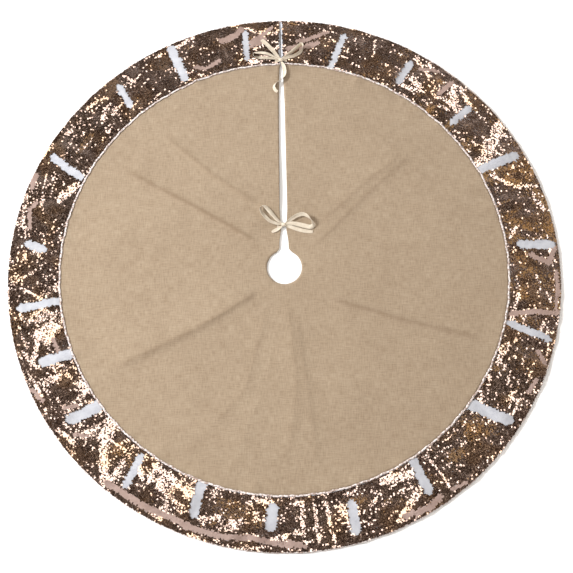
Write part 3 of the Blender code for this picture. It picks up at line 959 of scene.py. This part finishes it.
def add_ribbon(name, knot, rows):
    """A ribbon along rows of x, y, height of its lower edge, lean and width. All are
    millimetres from the knot's foot but the lean: 0 degrees lies flat, 90 stands on edge."""
    x, y, low, lean, width = smooth_route(rows).T
    lean = np.radians(lean)
    x, y, low, width = knot.x + x / 1000, knot.y + y / 1000, low / 1000, width / 1000
    ahead = np.stack([np.gradient(x), np.gradient(y)], axis=1)
    ahead /= np.linalg.norm(ahead, axis=1)[:, None] + 1e-9
    left = np.stack([-ahead[:, 1], ahead[:, 0]], axis=1)
    middle = knot.z + low + np.abs(np.sin(lean)) * width / 2 + lie(x, y)
    length = float(np.sum(np.hypot(np.hypot(np.diff(x), np.diff(y)), np.diff(middle))))
    bpy.ops.object.select_all(action="DESELECT")
    bpy.ops.mesh.primitive_grid_add(x_subdivisions=len(x) - 1, y_subdivisions=RIBBON_CELLS)
    ribbon = bpy.context.active_object
    ribbon.name = name + "_ribbon"
    points = np.array([vertex.co[:] for vertex in ribbon.data.vertices])
    station = np.rint((points[:, 0] + 1) / 2 * (len(x) - 1)).astype(int)
    share = points[:, 1]
    reach = share * width[station] / 2
    rise = RIBBON_CUP * width[station] * (share**2 - 0.5)
    flat, tall = np.cos(lean)[station], np.sin(lean)[station]
    points[:, 0] = x[station] + left[station, 0] * (reach * flat - rise * tall)
    points[:, 1] = y[station] + left[station, 1] * (reach * flat - rise * tall)
    points[:, 2] = middle[station] + reach * tall + rise * flat
    ribbon.data.vertices.foreach_set("co", points.ravel())
    travelled = np.concatenate([[0], np.cumsum(np.hypot(np.diff(x), np.diff(y)))])
    for label, values in (("across", share), ("along", travelled[station])):
        attribute = ribbon.data.attributes.new(label, "FLOAT", "POINT")
        attribute.data.foreach_set("value", values.astype(np.float32))
    bpy.ops.object.modifier_add(type="SOLIDIFY")
    ribbon.modifiers["Solidify"].thickness = RIBBON_THICKNESS
    ribbon.modifiers["Solidify"].offset = 1
    bpy.ops.object.modifier_apply(modifier="Solidify")
    ribbon.data.shade_smooth()
    ribbon.data.materials.append(satin.material)
    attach(ribbon, "back_half")
    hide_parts(name)
    return ribbon, length


def add_knot(name, knot, size):
    """The ribbon wrapped tight round the middle of a bow, in soft pleats."""
    bpy.ops.object.select_all(action="DESELECT")
    bpy.ops.mesh.primitive_uv_sphere_add(segments=40, ring_count=24, radius=1)
    wrap = bpy.context.active_object
    wrap.name = name + "_wrap"
    points = np.array([vertex.co[:] for vertex in wrap.data.vertices])
    broad_pleats = 0.06 * np.cos(points[:, 0] * 13)
    fine_pleats = 0.03 * np.cos(points[:, 0] * 29 + points[:, 1] * 4)
    points[:, 1:] *= (1 + broad_pleats + fine_pleats)[:, None]
    points[:, 0] = np.sign(points[:, 0]) * np.abs(points[:, 0]) ** KNOT_SQUARENESS
    height = lie(np.array([knot.x]), np.array([knot.y]))[0]
    middle = np.array([knot.x, knot.y, knot.z + size.z / 2 + height])
    points = middle + points * np.array(size) / 2
    wrap.data.vertices.foreach_set("co", points.ravel())
    turns = (points - middle) / np.array(size) * 2
    for label, values in (("across", turns[:, 0] * 0.7), ("along", turns[:, 1] * size.y / 2)):
        attribute = wrap.data.attributes.new(label, "FLOAT", "POINT")
        attribute.data.foreach_set("value", values.astype(np.float32))
    wrap.data.shade_smooth()
    wrap.data.materials.append(satin.material)
    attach(wrap, "back_half")
    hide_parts(name)
    return wrap


BOWS = {
    "inner_bow": {
        "tie_left": ((-15, 0, 0, 0, 10), (-9, 0, 0, 8, 8), (-4, 0, 0.4, 20, 4.5)),
        "tie_right": ((15, 0, 0, 0, 10), (9, 0, 0, 8, 8), (4, 0, 0.4, 20, 4.5)),
        "tail_left": (
            (-3, -2, 1.2, 20, 4.5), (-7, -5, 0.6, 15, 7), (-14, -10, 0.2, 8, 8.5),
            (-22, -14, 0.1, 6, 8), (-27, -16, 0, 4, 4),
        ),
        "tail_right": (
            (3, -2, 1.2, 25, 4.5), (12, -4, 0.8, 25, 7), (26, -9, 0.3, 20, 8.5),
            (42, -14, 0.1, 14, 8.5), (56, -16.5, 0.1, 10, 8), (65, -17, 0, 8, 7),
        ),
        "loop_left": (
            (-4, 1, 2.0, 30, 4.5), (-15, 2, 2.6, 26, 8), (-31, 9, 2.4, 24, 10),
            (-44, 22, 2.2, 30, 10), (-51.5, 34, 2.4, 60, 10), (-49, 42, 3.0, 100, 10),
            (-41, 42, 3.6, 140, 10), (-29, 29, 3.8, 155, 10.5), (-15, 12, 3.2, 150, 9),
            (-3, 2, 3.6, 145, 4.5),
        ),
        "loop_right": (
            (4, 2, 3.4, 35, 4.5), (17, 12, 3.2, 24, 8), (30, 20, 3.0, 30, 9),
            (43, 23, 3.0, 45, 9.5), (54, 18, 2.6, 70, 10), (63, 8, 2.2, 110, 10),
            (67, -2, 2.0, 140, 10), (60, -7, 2.2, 158, 10), (46, -4, 2.6, 160, 10.5),
            (30, 0, 2.8, 158, 10), (15, 2, 2.8, 150, 8), (4, 0.5, 3.0, 145, 4.5),
        ),
    },
    "outer_bow": {
        "tie_left": ((-14, 0, 0, 0, 9), (-9, 0, 0, 8, 8), (-4, 0, 0.4, 20, 4.5)),
        "tie_right": ((14, 0, 0, 0, 9), (9, 0, 0, 8, 8), (4, 0, 0.4, 20, 4.5)),
        "tail_left": (
            (-2, 3, 1.6, 20, 4.5), (-10, 13, 1.2, 15, 9), (-19, 26, 0.8, 12, 10),
            (-29, 38, 0.6, 8, 10), (-40, 50, 0.4, 6, 10), (-45, 55, 0.4, 6, 9),
        ),
        "tail_right": (
            (1, -4, 1.0, 20, 4.5), (6, -14, 0.2, 20, 8), (9, -27, -1.0, 30, 8.5),
            (8, -39, -1.8, 45, 8.5), (2, -48, -1.8, 70, 8), (-6, -54, -1.8, 80, 8),
            (-13, -59, -1.8, 60, 8), (-17, -67, -1.8, 40, 7.5), (-14, -75, -1.8, 20, 7.5),
            (-9, -79, -1.8, 8, 7),
        ),
        "loop_left": (
            (-4, 1, 1.6, 25, 4.5), (-17, 5, 1.6, 20, 8), (-35, 6, 1.4, 20, 9),
            (-53, 7, 1.4, 30, 10), (-64, 11, 1.6, 75, 10), (-62, 18, 2.4, 130, 10),
            (-48, 19, 3.2, 152, 10), (-30, 16, 3.4, 158, 9), (-15, 9, 3.0, 152, 7),
            (-3, 2, 3.0, 145, 4.5),
        ),
        "loop_right": (
            (4, 1, 2.0, 40, 4.5), (16, 5, 2.0, 48, 7), (32, 9, 1.8, 55, 8.5),
            (46, 19, 1.8, 66, 10), (52, 32, 2.0, 92, 10), (48, 38, 2.4, 118, 10),
            (38, 29, 2.8, 124, 9), (24, 17, 2.8, 130, 8), (12, 8, 2.8, 135, 6),
            (3, 2, 3.0, 140, 4.5),
        ),
    },
}  # fmt: skip

for bow, ribbons in BOWS.items():
    low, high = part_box(bow + "_knot")
    knot = Vector(((low.x + high.x) / 2, (low.y + high.y) / 2, low.z))
    wrap = add_knot(bow + "_knot", knot, high - low)
    for part, rows in ribbons.items():
        ribbon, length = add_ribbon(f"{bow}_{part}", knot, rows)
